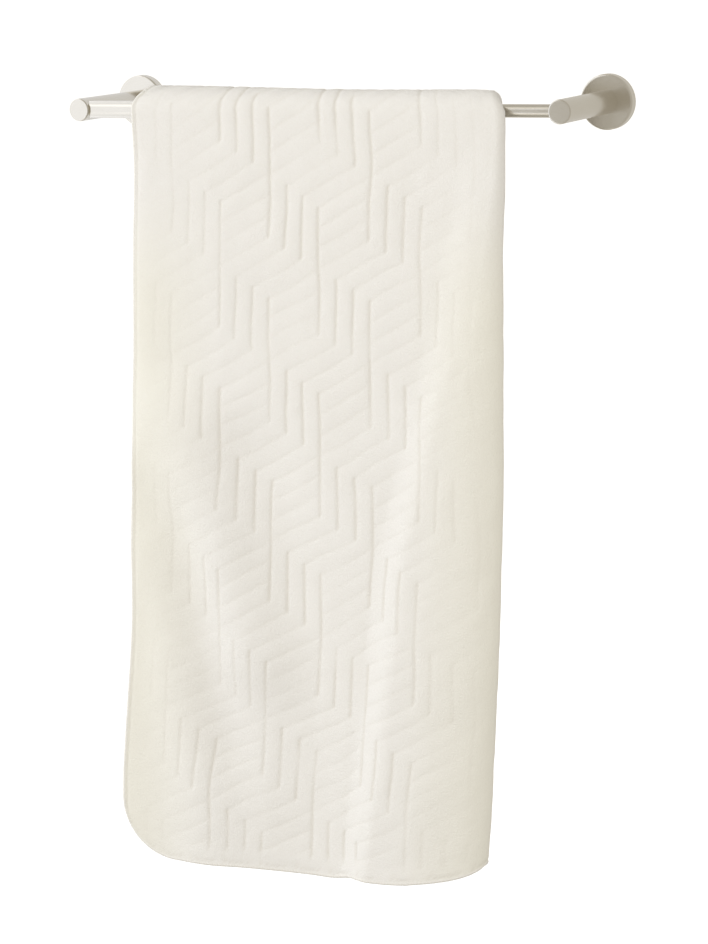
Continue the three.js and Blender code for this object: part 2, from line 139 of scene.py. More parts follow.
class Finish:
    """A material with a Principled shader, and the one way its other nodes are added."""

    def __init__(self, name, settings):
        self.material = bpy.data.materials.new(name)
        self.material.use_nodes = True
        self.tree = self.material.node_tree
        self.shader = self.tree.nodes["Principled BSDF"]
        for socket, value in settings.items():
            self.shader.inputs[socket].default_value = value

    def node(self, kind, settings, inputs, output=0):
        node = self.tree.nodes.new(kind)
        for name, value in settings.items():
            setattr(node, name, value)
        pairs = inputs.items() if isinstance(inputs, dict) else enumerate(inputs)
        for key, value in pairs:
            self.plug(node.inputs[key], value)
        return Wire(self, node.outputs[output])

    def plug(self, socket, value):
        if isinstance(value, Wire):
            self.tree.links.new(value.socket, socket)
        else:
            socket.default_value = value

    def blend(self, share, first, second):
        """One colour over another by a share from 0 to 1."""
        node = self.tree.nodes.new("ShaderNodeMix")
        node.data_type = "RGBA"
        self.plug(node.inputs["Factor"], share)
        colours = [socket for socket in node.inputs if socket.type == "RGBA"]
        self.plug(colours[0], first)
        self.plug(colours[1], second)
        shown = [socket for socket in node.outputs if socket.type == "RGBA"]
        return Wire(self, shown[0])

    def surface(self, socket, value):
        self.plug(self.shader.inputs[socket], value)


def brushed_nickel(name, grain):
    """Nickel brushed one way: fine scratches stretched by the three numbers of its grain."""
    finish = Finish(name, {"Metallic": 1.0, "Roughness": NICKEL_ROUGH})
    place = finish.node("ShaderNodeTexCoord", {}, [], "Object")
    laid = finish.node("ShaderNodeMapping", {}, {"Vector": place, "Scale": grain})
    scratch = finish.node("ShaderNodeTexNoise", {}, {
        "Vector": laid, "Scale": 1.0, "Detail": 3.0, "Roughness": 0.6,
    })
    cloud = finish.node("ShaderNodeTexNoise", {}, {
        "Vector": place, "Scale": 45.0, "Detail": 2.0, "Roughness": 0.5,
    })
    shade = SCRATCH_SHARE * scratch + CLOUD_SHARE * cloud
    finish.surface("Base Color", finish.blend(shade, NICKEL_DARK, NICKEL_LIGHT))
    finish.surface("Roughness", NICKEL_ROUGH - ROUGH_SPREAD / 2 + ROUGH_SPREAD * scratch)
    finish.surface("Normal", finish.node("ShaderNodeBump", {}, {
        "Strength": 0.12, "Distance": SCRATCH_DEPTH, "Height": scratch,
    }))
    return finish.material


PLATE_NICKEL = brushed_nickel("plate_nickel", (260, 900, 2200))
for side, x in ENDS:
    plate = turned(
        f"wall_plate_{side}",
        [(0, 0), (PLATE_RADIUS, 0), (PLATE_RADIUS, PLATE_DEPTH), (0, PLATE_DEPTH)],
        PLATE_SIDES, PLATE_ROUND, OUT_FROM_WALL, (x * MM, 0, 0),
    )
    plate.data.materials.append(PLATE_NICKEL)
    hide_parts(f"rosette_{side}")
    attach(plate, "root")

# Posts
# A straight round post stands out from the middle of each plate. Its flat outer end has a
# narrow broken edge, and the tube of the bar is let into its side near that end.
POST_RADIUS = 10
POST_REACH = 115
POST_ROUND = 0.9
POST_SIDES = 96
POST_SUNK = 0.5
POST_START = PLATE_DEPTH - POST_SUNK
POST_NICKEL = brushed_nickel("post_nickel", (1500, 60, 1500))
for side, x in ENDS:
    post = turned(
        f"wall_post_{side}",
        [(0, POST_START), (POST_RADIUS, POST_START), (POST_RADIUS, POST_REACH), (0, POST_REACH)],
        POST_SIDES, POST_ROUND, OUT_FROM_WALL, (x * MM, 0, 0),
    )
    post.data.materials.append(POST_NICKEL)
    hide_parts(f"post_{side}")
    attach(post, "root")

# Bar
# Two tubes that slide one in the other: the wide one starts in the left post and ends in a
# turned-in lip, and the slim one comes out of it and ends in the right post.
BAR_OUT = 105
WIDE_RADIUS = 7.75
SLIM_RADIUS = 5.5
WIDE_END_X = 148
WIDE_TAPER = 8
WIDE_LIP_RADIUS = 6.6
LIP_BORE = 5.8
SOCKET_DEPTH = 25
POST_SOCKET = 5.7
TUBE_ROUND = 0.35
TUBE_SIDES = 96
TUBE_START = -POST_SPAN / 2 + POST_RADIUS - POST_SOCKET
TUBE_END = POST_SPAN / 2 - POST_RADIUS + POST_SOCKET
SOCKET_START = WIDE_END_X - SOCKET_DEPTH
SLIM_GAP = 0.3
SLIM_START = SOCKET_START + SLIM_GAP
BAR_NICKEL = brushed_nickel("bar_nickel", (60, 1500, 1500))
WIDE_PROFILE = [
    (0, TUBE_START), (WIDE_RADIUS, TUBE_START), (WIDE_RADIUS, WIDE_END_X - WIDE_TAPER),
    (WIDE_LIP_RADIUS, WIDE_END_X), (LIP_BORE, WIDE_END_X), (LIP_BORE, SOCKET_START),
    (0, SOCKET_START),
]
SLIM_PROFILE = [
    (0, SLIM_START), (SLIM_RADIUS, SLIM_START), (SLIM_RADIUS, TUBE_END), (0, TUBE_END),
]
for name, profile, node in (
    ("bar_tube_wide_brushed", WIDE_PROFILE, "bar_tube_wide"),
    ("bar_tube_slim_brushed", SLIM_PROFILE, "bar_tube_slim"),
):
    tube = turned(name, profile, TUBE_SIDES, TUBE_ROUND, ALONG_BAR, (0, -BAR_OUT * MM, 0))
    tube.data.materials.append(BAR_NICKEL)
    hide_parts(node)
    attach(tube, "root")

# Towel
# One cut of thick terry, 711 by 1372 mm with rounded corners. It is folded once lengthwise
# with the fold on the right, hung over the bar, and hangs in two soft panels. Its pile is
# sculpted into ribs, whose grooves make stepped zigzags on the half that shows outside.
CLOTH_WIDTH = 711
CLOTH_LENGTH = 1372
CLOTH_CORNER = 54
CLOTH_THICK = 4.4
CLOTH_INSET = 3.0
FRONT_RUN = 672
BAR_RUN = 40
BACK_RUN = CLOTH_LENGTH - FRONT_RUN - BAR_RUN
FOLD = CLOTH_WIDTH / 2
ROUND_GAP = 0.5
SINK_FROM_X = 146
SINK_RUN = 34
SINK = 1.4
CREST_POWER = 4 / 3

# How each panel hangs at a drop below the bar. Along the bar: its free edge, the foot and the
# shoulder of the slope up to the loop of the fold, the crest of the loop and the turn of the
# fold. Outwards: how far the loop swells out and in, how far the two layers are apart, how much
# further they gape at the free edge, and how far the panel stands off from the bar's line
FRONT_HANG = {
    "drop": [0, 45, 120, 225, 315, 385, 460, 560, 612, 683],
    "left": [-168.5, -169, -175, -180.5, -184.5, -186.5, -189.5, -200.5, -205.5, -206.5],
    "foot": [150, 140, 122, 98, 74, 56, 46, 32, 24, 12],
    "shoulder": [174, 168, 156, 134, 110, 94, 84, 70, 62, 50],
    "crest": [177.5, 175, 164, 147, 127, 115, 107, 100, 96, 90],
    "right": [179.5, 179.3, 176, 175.5, 174.5, 172.3, 168.6, 163.7, 160.2, 154],
    "out": [0, 1.8, 4, 7.5, 10, 12, 14, 15, 15.5, 16],
    "in": [0, 1, 2.5, 5, 8, 9, 10, 11, 11.5, 12],
    "apart": [4.9, 5.1, 5.6, 6.1, 6.4, 6.6, 6.8, 7, 7, 7],
    "gape": [3.6, 3, 1.4, 0.3, 0, 0, 0, 0, 0, 0],
    "sway": [0, 0.4, 1.7, 4, 6, 7.6, 9.6, 12.5, 14, 16],
}
BACK_HANG = {
    "drop": [0, 45, 120, 245, 390, 530, 670],
    "left": [-180, -181, -184, -188, -193, -201, -206],
    "foot": [146, 142, 125, 97, 67, 42, 17],
    "shoulder": [162, 160, 153, 142, 126, 113, 98],
    "crest": [164, 163, 155, 142, 126, 113, 98],
    "right": [166.5, 167, 162.5, 158, 152, 143, 130],
    "out": [0, 1, 3, 6, 9, 11, 12],
    "in": [0, 0.8, 2, 3, 4, 5, 5],
    "apart": [4.9, 5.1, 5.6, 6, 6.4, 6.8, 7],
    "gape": [3.6, 3, 1.4, 0.2, 0, 0, 0],
    "sway": [0, 0.3, 1, 2.5, 4.5, 6.5, 8],
}
HANG_NAMES = [
    "left", "foot", "shoulder", "crest", "right", "out", "in", "apart", "gape", "sway",
]
GAPE_RUN = 230

# How far each hem hangs below the bar, from the free edge (across 0) to the fold (across 1)
FRONT_HEM = {
    "across": [0, 0.18, 0.35, 0.53, 0.59, 0.65, 0.76, 0.84, 0.91, 1],
    "drop": [683, 681, 679.5, 679, 678, 672, 669, 664.5, 657, 643],
}
BACK_HEM = {"across": [0, 0.5, 0.88, 1], "drop": [675, 674, 673, 664]}

# Soft creases, each from its top to its foot, as a trough or a ridge (a positive rise)
FADE = 70
CREASE_STOP = 30
FRONT_CREASES = [
    {"top_x": -186, "top": 0, "foot_x": -192, "foot": 330, "half": 17, "rise": -6},
    {"top_x": -166, "top": 330, "foot_x": -108, "foot": 740, "half": 32, "rise": 5.5},
    {"top_x": -152, "top": 310, "foot_x": -78, "foot": 630, "half": 27, "rise": -6},
    {"top_x": -152, "top": 210, "foot_x": -42, "foot": 540, "half": 38, "rise": 8.5},
    {"top_x": -62, "top": 240, "foot_x": -4, "foot": 570, "half": 40, "rise": -5},
    {"top_x": -12, "top": 500, "foot_x": -12, "foot": 790, "half": 44, "rise": -5},
]
BACK_CREASES = [
    {"top_x": -50, "top": 120, "foot_x": -85, "foot": 740, "half": 42, "rise": 4.5},
    {"top_x": 45, "top": 90, "foot_x": 62, "foot": 740, "half": 36, "rise": -4},
    {"top_x": -150, "top": 260, "foot_x": -160, "foot": 740, "half": 30, "rise": -3.5},
]


def ease(value):
    share = np.clip(value, 0, 1)
    return share * share * (3 - 2 * share)


def column(table, key, name, place):
    """One column of a table at places between its rows, on a smooth curve through them."""
    keys = np.array(table[key], float)
    values = np.array(table[name], float)
    last = len(keys) - 1
    low = np.clip(np.searchsorted(keys, place) - 1, 0, last - 1)
    high = low + 1
    before = np.maximum(low - 1, 0)
    after = np.minimum(low + 2, last)
    span = keys[high] - keys[low]
    t = np.clip((place - keys[low]) / span, 0, 1)
    slope_low = (values[high] - values[before]) / (keys[high] - keys[before]) * span
    slope_high = (values[after] - values[low]) / (keys[after] - keys[low]) * span
    return (
        (2 * t**3 - 3 * t**2 + 1) * values[low] + (t**3 - 2 * t**2 + t) * slope_low
        + (3 * t**2 - 2 * t**3) * values[high] + (t**3 - t**2) * slope_high
    )


def crease_height(creases, x, drop):
    """The height of all creases at points of a panel."""
    height = 0
    for crease in creases:
        share = (drop - crease["top"]) / (crease["foot"] - crease["top"])
        centre = crease["top_x"] + (crease["foot_x"] - crease["top_x"]) * share
        fade = ease((drop - crease["top"]) / FADE) * ease((crease["foot"] - drop) / FADE)
        height = height + crease["rise"] * fade * np.exp(-(((x - centre) / crease["half"]) ** 2))
    return height


def bar_radius(x):
    """How far the middle of the two layers lies from the bar's axis. The stiff cloth reaches
    past the end of the wide tube, and sinks only a little there."""
    tube = WIDE_RADIUS - SINK * ease((x - SINK_FROM_X) / SINK_RUN)
    return tube + ROUND_GAP + CLOTH_THICK + (FRONT_HANG["apart"][0] - CLOTH_THICK) / 2


def plan_point(hang, outer, across):
    """Where points across a layer lie, along the bar and outwards from the panel's middle."""
    centre = (hang["out"] - hang["in"]) / 2
    side = np.where(outer, 1, -1)
    swell = np.where(outer, hang["out"], hang["in"])
    flat = hang["apart"] / 2
    depth = flat + swell - side * centre
    turn = hang["right"] - hang["crest"]
    straight = hang["crest"] - hang["left"]
    around = math.pi / 2 * np.sqrt((turn**2 + depth**2) / 2)
    distance = across * (straight + around)
    x = hang["left"] + distance
    rise = swell * ease((x - hang["foot"]) / (hang["shoulder"] - hang["foot"]))
    gape = np.where(outer, hang["gape"] * (1 - ease((x - hang["left"]) / GAPE_RUN)), 0)
    out = side * (flat + rise + gape)
    angle = np.clip((distance - straight) / around, 0, 1) * math.pi / 2
    turned_x = hang["crest"] + turn * np.sin(angle) ** CREST_POWER
    turned_out = centre + side * depth * np.cos(angle)
    on_flat = distance <= straight
    return np.where(on_flat, x, turned_x), np.where(on_flat, out, turned_out)


# On top of the bar the ends of the two layers are drawn in, which rounds the panel's shoulders
EDGE_DRAWN = {"outer": 16, "inner": 8}
FOLD_DRAWN = 4


def hang_over_bar(over, outer):
    hang = {
        name: FRONT_HANG[name][0] * (1 - over) + BACK_HANG[name][0] * over for name in HANG_NAMES
    }
    high = np.sin(over * math.pi) ** 2
    hang["left"] = hang["left"] + high * np.where(outer, EDGE_DRAWN["outer"], EDGE_DRAWN["inner"])
    hang["crest"] = hang["crest"] - high * FOLD_DRAWN
    hang["right"] = hang["right"] - high * FOLD_DRAWN
    return hang


def panel_point(hangs, hems, creases, outer, across, run):
    """Points of the front or the back panel: along the bar, out from its axis, and down."""
    drop = column(hems, "across", "drop", across) * run
    hang = {name: column(hangs, "drop", name, drop) for name in HANG_NAMES}
    x, out = plan_point(hang, outer, across)
    near_fold = ease((hang["crest"] - x) / CREASE_STOP)
    crease = crease_height(creases, x, drop) * near_fold
    return x, bar_radius(x) + hang["sway"] + out + crease, drop


def cloth_point(width, length):
    """The middle of the cloth at distances along its width and length, in millimetres."""
    outer = width <= FOLD
    across = np.where(outer, width, CLOTH_WIDTH - width) / FOLD
    front_run = np.clip((FRONT_RUN - length) / FRONT_RUN, 0, None)
    back_run = np.clip((length - FRONT_RUN - BAR_RUN) / BACK_RUN, 0, None)
    over = np.clip((length - FRONT_RUN) / BAR_RUN, 0, 1)
    x_front, out_front, drop_front = panel_point(
        FRONT_HANG, FRONT_HEM, FRONT_CREASES, outer, across, front_run)
    x_back, out_back, drop_back = panel_point(
        BACK_HANG, BACK_HEM, BACK_CREASES, outer, across, back_run)
    x_bar, out_bar = plan_point(hang_over_bar(over, outer), outer, across)
    radius = bar_radius(x_bar) + out_bar
    in_front = length < FRONT_RUN
    behind = length > FRONT_RUN + BAR_RUN
    x = np.where(in_front, x_front, np.where(behind, x_back, x_bar))
    out_round = -radius * np.cos(over * math.pi)
    z_round = radius * np.sin(over * math.pi)
    out = np.where(in_front, -out_front, np.where(behind, out_back, out_round))
    z = np.where(in_front, -drop_front, np.where(behind, -drop_back, z_round))
    return np.stack([x, out - BAR_OUT, z], axis=-1)


def unit(vectors):
    return vectors / np.linalg.norm(vectors, axis=-1, keepdims=True)


FRAME_STEP = 0.4


def cloth_frame(width, length):
    """The cloth's own directions: along its width, along its length, out of its shown face."""
    step = FRAME_STEP
    along_width = unit(cloth_point(width + step, length) - cloth_point(width - step, length))
    along_length = unit(cloth_point(width, length + step) - cloth_point(width, length - step))
    return along_width, along_length, unit(np.cross(along_width, along_length))


def hem_start(width):
    """How far from the end of the sheet the cloth starts, more at its rounded corners."""
    radius = CLOTH_CORNER - CLOTH_INSET
    from_edge = np.minimum(width, CLOTH_WIDTH - width) - CLOTH_INSET
    short = np.clip(radius - from_edge, 0, radius)
    return CLOTH_INSET + radius - np.sqrt(radius**2 - short**2)


# The grooves follow a grid of upright and slanting lines, which rise by SLANT to the right.
# Each row of these tables is one of three lines that follow one another, with the stretches
# that are grooves, counted in steps of the grid.
STEP_ACROSS = 16
STEP_DOWN = 17.74
GRID_LEFT = 6.5
GRID_FROM = 706.2
SLANT = 0.537
REPEAT = 9
UPRIGHT_GROOVES = [[(0, 3), (6, 9)], [(1, 4)], [(2, 5)]]
SLANTED_GROOVES = [[(0, 3), (6, 9)], [(1, 4), (6, 9)], [(2, 5), (6, 9)]]

# A groove is a narrow cut in a wide soft hollow. The slanting ones are cut less deep, and all
# are shallower near the free edge, near the fold and where the pile lies fuller.
GROOVE_DEPTH = 1.1
CUT_HALF = 2.5
HOLLOW_HALF = 7
# Each groove's cut is also painted darker by its last share here: a painted shade.
UPRIGHT = {"cut": 0.62, "hollow": 0.24, "painted_shade": 0.8}
SLANTED = {"cut": 0.14, "hollow": 0.24, "painted_shade": 0.2}
SIDE_SHARE = 0.12
SIDE_FADE = 110
FULL_PILE = 0.6
PLAIN_EDGE = 9
EDGE_FADE = 9
FOLD_PLAIN = 3
FOLD_FADE = 26
ALONG_SLANT = math.hypot(1, SLANT)
SEAM_SHARE = 0.5
SEAM_FROM_EDGE = 2.1
SEAM_HALF = 1.1

# The cloth is a little uneven: wide swells and smaller lumps of the pile, in millimetres.
# It lies even where it goes round the bar and where the binding is sewn on. The ribs wander
# a little off their straight lines.
SWELL = {"cell": 46, "height": 0.7, "seed": 5}
LUMPS = {"cell": 13, "height": 0.3, "seed": 8}
PILE = {"cell": 34, "height": 1, "seed": 11}
WANDER_ACROSS = {"cell": 37, "height": 1.6, "seed": 21}
WANDER_ALONG = {"cell": 31, "height": 1.8, "seed": 22}
BAR_EVEN = 8
BAR_FADE = 32
HEM_EVEN = 2
HEM_FADE = 14


def unevenness(kind, width, length):
    """Smooth seeded noise over the flat cloth, in humps and hollows one cell apart."""
    cell = kind["cell"]
    shape = (math.ceil(CLOTH_WIDTH / cell) + 2, math.ceil(CLOTH_LENGTH / cell) + 2)
    heights = np.random.default_rng(kind["seed"]).uniform(-1, 1, shape)
    across = np.clip(width, 0, CLOTH_WIDTH) / cell
    along = np.clip(length, 0, CLOTH_LENGTH) / cell
    i = np.floor(across).astype(int)
    j = np.floor(along).astype(int)
    u = ease(across - i)
    v = ease(along - j)
    near = heights[i, j] * (1 - u) + heights[i + 1, j] * u
    far = heights[i, j + 1] * (1 - u) + heights[i + 1, j + 1] * u
    return kind["height"] * (near * (1 - v) + far * v)


def freedom(width, length):
    """How free the cloth is to swell: 0 round the bar and along its edges, 1 elsewhere."""
    from_end = np.minimum(length, CLOTH_LENGTH - length) - hem_start(width)
    from_side = np.minimum(width, CLOTH_WIDTH - width) - CLOTH_INSET
    from_edge = np.minimum(from_side, from_end)
    from_bar = np.abs(length - FRONT_RUN - BAR_RUN / 2) - BAR_RUN / 2
    return ease((from_edge - HEM_EVEN) / HEM_FADE) * ease((from_bar - BAR_EVEN) / BAR_FADE)


def stretch_distance(runs, phase):
    """How far, in steps, a place on a grid line is from the nearest stretch of groove."""
    gap = np.full(np.shape(phase), float(REPEAT))
    for start, end in runs:
        for shift in (-REPEAT, 0, REPEAT):
            past = np.maximum(start + shift - phase, phase - end - shift)
            gap = np.minimum(gap, np.clip(past, 0, None))
    return gap


def line_distance(lines, line, place, apart, step):
    """How far, in millimetres, points are from the grooves of one set of grid lines."""
    nearest = np.round(line)
    aside = np.abs(line - nearest) * apart
    which = np.mod(nearest, len(lines))
    phase = np.mod(place + nearest - which, REPEAT)
    past = np.zeros(np.shape(phase))
    for index, runs in enumerate(lines):
        past = np.where(which == index, stretch_distance(runs, phase), past)
    return np.hypot(aside, past * step)


def grid_place(width, length):
    """A point of the cloth in steps of the grid, to the right and downwards."""
    down = (GRID_FROM - length + SLANT * width) / STEP_DOWN
    return (width + GRID_LEFT) / STEP_ACROSS, down


def hollow(distance, groove_and_painted_shade):
    """The section of a groove: a narrow cut in the middle of a wide soft hollow."""
    narrow = groove_and_painted_shade["cut"] * (1 - ease(distance / CUT_HALF))
    return narrow + groove_and_painted_shade["hollow"] * (1 - ease(distance / HOLLOW_HALF))


# Painted shade along the cut of a groove, as a share that darkens the colour.
def painted_groove_shade(distance, groove_and_painted_shade):
    return groove_and_painted_shade["painted_shade"] * (1 - ease(distance / CUT_HALF))


def groove_depths(width, length):
    """How deep the cloth is sunk at its points and how far painted shade darkens it there, both as
    shares.
    """
    right, down = grid_place(width, length)
    upright = line_distance(UPRIGHT_GROOVES, right, down, STEP_ACROSS, STEP_DOWN)
    slanted = line_distance(
        SLANTED_GROOVES, down, right, STEP_DOWN / ALONG_SLANT, STEP_ACROSS * ALONG_SLANT)
    from_end = np.minimum(length, CLOTH_LENGTH - length) - hem_start(width)
    plain = ease((np.minimum(width - CLOTH_INSET, from_end) - PLAIN_EDGE) / EDGE_FADE)
    middle = ease(np.minimum(width, FOLD - width) / SIDE_FADE)
    fuller = FULL_PILE * np.clip(unevenness(PILE, width, length), 0, 1)
    strength = (SIDE_SHARE + (1 - SIDE_SHARE) * middle) * (1 - fuller)
    strength = strength * plain * ease((FOLD - FOLD_PLAIN - width) / FOLD_FADE)
    ribs = np.maximum(hollow(upright, UPRIGHT), hollow(slanted, SLANTED)) * strength
    painted_shade = np.maximum(painted_groove_shade(upright, UPRIGHT), painted_groove_shade(slanted, SLANTED))
    # The sewn line beside the binding is sunk, and painted darker by the same share: painted shade.
    from_edge = np.minimum(np.minimum(width, CLOTH_WIDTH - width) - CLOTH_INSET, from_end)
    seam = SEAM_SHARE * np.exp(-(((from_edge - SEAM_FROM_EDGE) / SEAM_HALF) ** 2))
    return np.maximum(ribs, seam), np.maximum(painted_shade * strength, seam)


# A painted warm shade: the colour turns creamier along both sides of the folded panel, away from
# the bar
WARM_SHADE_SIDE = 100
WARM_SHADE_BELOW = 70
WARM_SHADE_FADE = 130


def painted_warm_shade_share(width, length):
    folded = np.minimum(width, CLOTH_WIDTH - width)
    beside = 1 - ease(np.minimum(folded, FOLD - folded) / WARM_SHADE_SIDE)
    from_bar = np.abs(length - FRONT_RUN - BAR_RUN / 2)
    return beside * ease((from_bar - WARM_SHADE_BELOW) / WARM_SHADE_FADE)


# Columns and rows of the shown face stand closest at the grooves. As far as the fold, its
# rows rise with the slanting grooves.
GROOVE_OFFSETS = [-5.6, -2.8, -1.3, 0, 1.3, 2.8, 5.6]
SPARSE_OFFSETS = [-5.6, -1.9, 0, 1.9, 5.6]
MARGIN_COLUMNS = [3, 4, 5, 6, 7.5, 9.5, 12]
TURN_COLUMNS = [345, 348.5, 351.5, 354, 355.5, 357, 359.5, 362.5, 367]
INNER_STEP = 14
INNER_END = 60
FAR_COLUMNS = [48, 38, 29, 21]
COLUMN_GAP = 1
FACE_MERGE = 0.05 * MM
LEVEL_FROM = CLOTH_INSET - SLANT * FOLD
FINE_TO_LEVEL = 700


def at_grooves(offsets, start, step, low, high):
    """Places from low to high that repeat the offsets at each line of the grid."""
    first = math.floor((low - start) / step)
    last = math.ceil((high - start) / step)
    lines = range(first, last + 1)
    places = [start + line * step + offset for line in lines for offset in offsets]
    return [place for place in places if low < place < high]


def face_columns():
    low = MARGIN_COLUMNS[-1] + COLUMN_GAP
    high = TURN_COLUMNS[0] - COLUMN_GAP
    outer = at_grooves(GROOVE_OFFSETS, -GRID_LEFT, STEP_ACROSS, low, high)
    inner = list(np.arange(TURN_COLUMNS[-1] + INNER_STEP, CLOTH_WIDTH - INNER_END, INNER_STEP))
    far_edge = [CLOTH_WIDTH - place for place in FAR_COLUMNS]
    far_margin = [CLOTH_WIDTH - place for place in reversed(MARGIN_COLUMNS)]
    return np.array(MARGIN_COLUMNS + outer + TURN_COLUMNS + inner + far_edge + far_margin)


def face_levels():
    fine = at_grooves(GROOVE_OFFSETS, GRID_FROM, STEP_DOWN, LEVEL_FROM, FINE_TO_LEVEL)
    sparse = at_grooves(
        SPARSE_OFFSETS, GRID_FROM, STEP_DOWN, FINE_TO_LEVEL, CLOTH_LENGTH - CLOTH_INSET)
    return np.array([LEVEL_FROM] + fine + sparse + [CLOTH_LENGTH - CLOTH_INSET])


def flat_face(bm, columns, levels, slant):
    """A flat grid of the cloth, cut to its outline: every point's place along and across."""
    grid = bmesh.ops.create_grid(
        bm, x_segments=len(columns) - 1, y_segments=len(levels) - 1, size=0.5)
    verts = grid["verts"]
    flat = np.array([vert.co for vert in verts])
    width = columns[np.rint((flat[:, 0] + 0.5) * (len(columns) - 1)).astype(int)]
    level = levels[np.rint((flat[:, 1] + 0.5) * (len(levels) - 1)).astype(int)]
    start = hem_start(width)
    length = np.clip(level + slant * np.minimum(width, FOLD), start, CLOTH_LENGTH - start)
    return verts, width, length


def hung(verts, places):
    for vert, place in zip(verts, places * MM):
        vert.co = place


LINING_COLUMNS = [3, 4.5, 7, 10, 15, 22, 31, 42, 54]
LINING_PITCH = 15
LINING_GAP = 5
BAR_MARGIN = 8
BAR_ROWS = 14


def lining_columns():
    start = LINING_COLUMNS[-1] + LINING_PITCH
    middle = list(np.arange(start, TURN_COLUMNS[0] - LINING_GAP, LINING_PITCH))
    half = LINING_COLUMNS + middle + [place for place in TURN_COLUMNS if place < FOLD]
    return np.array(half + [FOLD] + [CLOTH_WIDTH - place for place in reversed(half)])


def lining_levels():
    margin = LINING_COLUMNS[-1]
    bar_end = FRONT_RUN + BAR_RUN + BAR_MARGIN
    over = list(np.arange(FRONT_RUN - BAR_MARGIN, bar_end, BAR_RUN / BAR_ROWS))
    front = list(np.arange(margin + LINING_PITCH, over[0] - LINING_GAP, LINING_PITCH))
    back_end = CLOTH_LENGTH - margin - LINING_GAP
    back = list(np.arange(over[-1] + LINING_GAP, back_end, LINING_PITCH))
    ends = [CLOTH_LENGTH - place for place in reversed(LINING_COLUMNS)]
    return np.array(LINING_COLUMNS + front + over + back + ends)


# The cloth's attributes: its place on the flat sheet, the share of painted shade in its grooves and
# the share of painted warm shade along its sides.
CLOTH_LAYERS = ("cloth_width", "cloth_length", "groove_and_painted_shade", "painted_warm_shade")


def add_face(bm, columns, levels, slant, side):
    """One face of the cloth, hung in its place; side is 1 for the shown face, -1 for the lining."""
    verts, width, length = flat_face(bm, columns, levels, slant)
    share, painted_shade = groove_depths(width, length) if side > 0 else np.zeros((2, len(width)))
    painted_warm_shade = painted_warm_shade_share(width, length)
    free = freedom(width, length)
    rough = unevenness(SWELL, width, length)
    if side > 0:
        rough = rough + unevenness(LUMPS, width, length)
    lift = side * CLOTH_THICK / 2 - GROOVE_DEPTH * share + rough * free
    width = width + unevenness(WANDER_ACROSS, width, length) * free
    length = length + unevenness(WANDER_ALONG, width, length) * free
    out = cloth_frame(width, length)[2]
    hung(verts, cloth_point(width, length) + out * lift[:, None])
    # Each point keeps its place on the flat cloth and its shares of painted shade.
    layers = [bm.verts.layers.float[name] for name in CLOTH_LAYERS]
    for vert, *values in zip(verts, width * MM, length * MM, painted_shade, painted_warm_shade):
        for layer, value in zip(layers, values):
            vert[layer] = value
    if side < 0:
        faces = {face for vert in verts for face in vert.link_faces}
        bmesh.ops.reverse_faces(bm, faces=list(faces))
    bmesh.ops.remove_doubles(bm, verts=verts, dist=FACE_MERGE)


def terry_sheet():
    """The towel's two faces, the sculpted one and the plain one, whose edges end in the roll
    of the binding."""
    bm = bmesh.new()
    for name in CLOTH_LAYERS:
        bm.verts.layers.float.new(name)
    add_face(bm, face_columns(), face_levels(), SLANT, 1)
    add_face(bm, lining_columns(), lining_levels(), 0, -1)
    return bm


def on_towel(piece):
    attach(piece, "root")


# The pile's white and worn tones, a painted warm shade for the panel's sides and a painted shade
# for the grooves and the gaps between loops.
TERRY_TOP = (0.89, 0.88, 0.86, 1)
TERRY_WORN = (0.855, 0.84, 0.81, 1)
TERRY_PAINTED_WARM_SHADE = (0.865, 0.85, 0.77, 1)
TERRY_PAINTED_SHADE = (0.72, 0.685, 0.62, 1)
PAINTED_WARM_SHADE_SHARE = 0.95
LOOP_SIZE = 1.5 * MM
LOOP_HEIGHT = 0.35 * MM
TUFT_SIZE = 7 * MM
TUFT_HEIGHT = 0.5 * MM
PATCH_SIZE = 60 * MM
PATCH_SHARE = 0.55
TUFT_SHARE = 0.35
GROOVE_SHADE = 0.65
LOOP_SHADE = 0.12


def cloth_place(finish):
    """The place on the flat cloth, in metres, as a vector for textures."""
    across = finish.node("ShaderNodeAttribute", {"attribute_name": "cloth_width"}, [], "Fac")
    along = finish.node("ShaderNodeAttribute", {"attribute_name": "cloth_length"}, [], "Fac")
    return finish.node("ShaderNodeCombineXYZ", {}, [across, along])


def cloud_of(finish, place, size, detail):
    """Soft noise over the cloth with patches of one size, from 0 to 1."""
    return finish.node("ShaderNodeTexNoise", {}, {
        "Vector": place, "Scale": 1 / size, "Detail": detail, "Roughness": 0.55,
    })


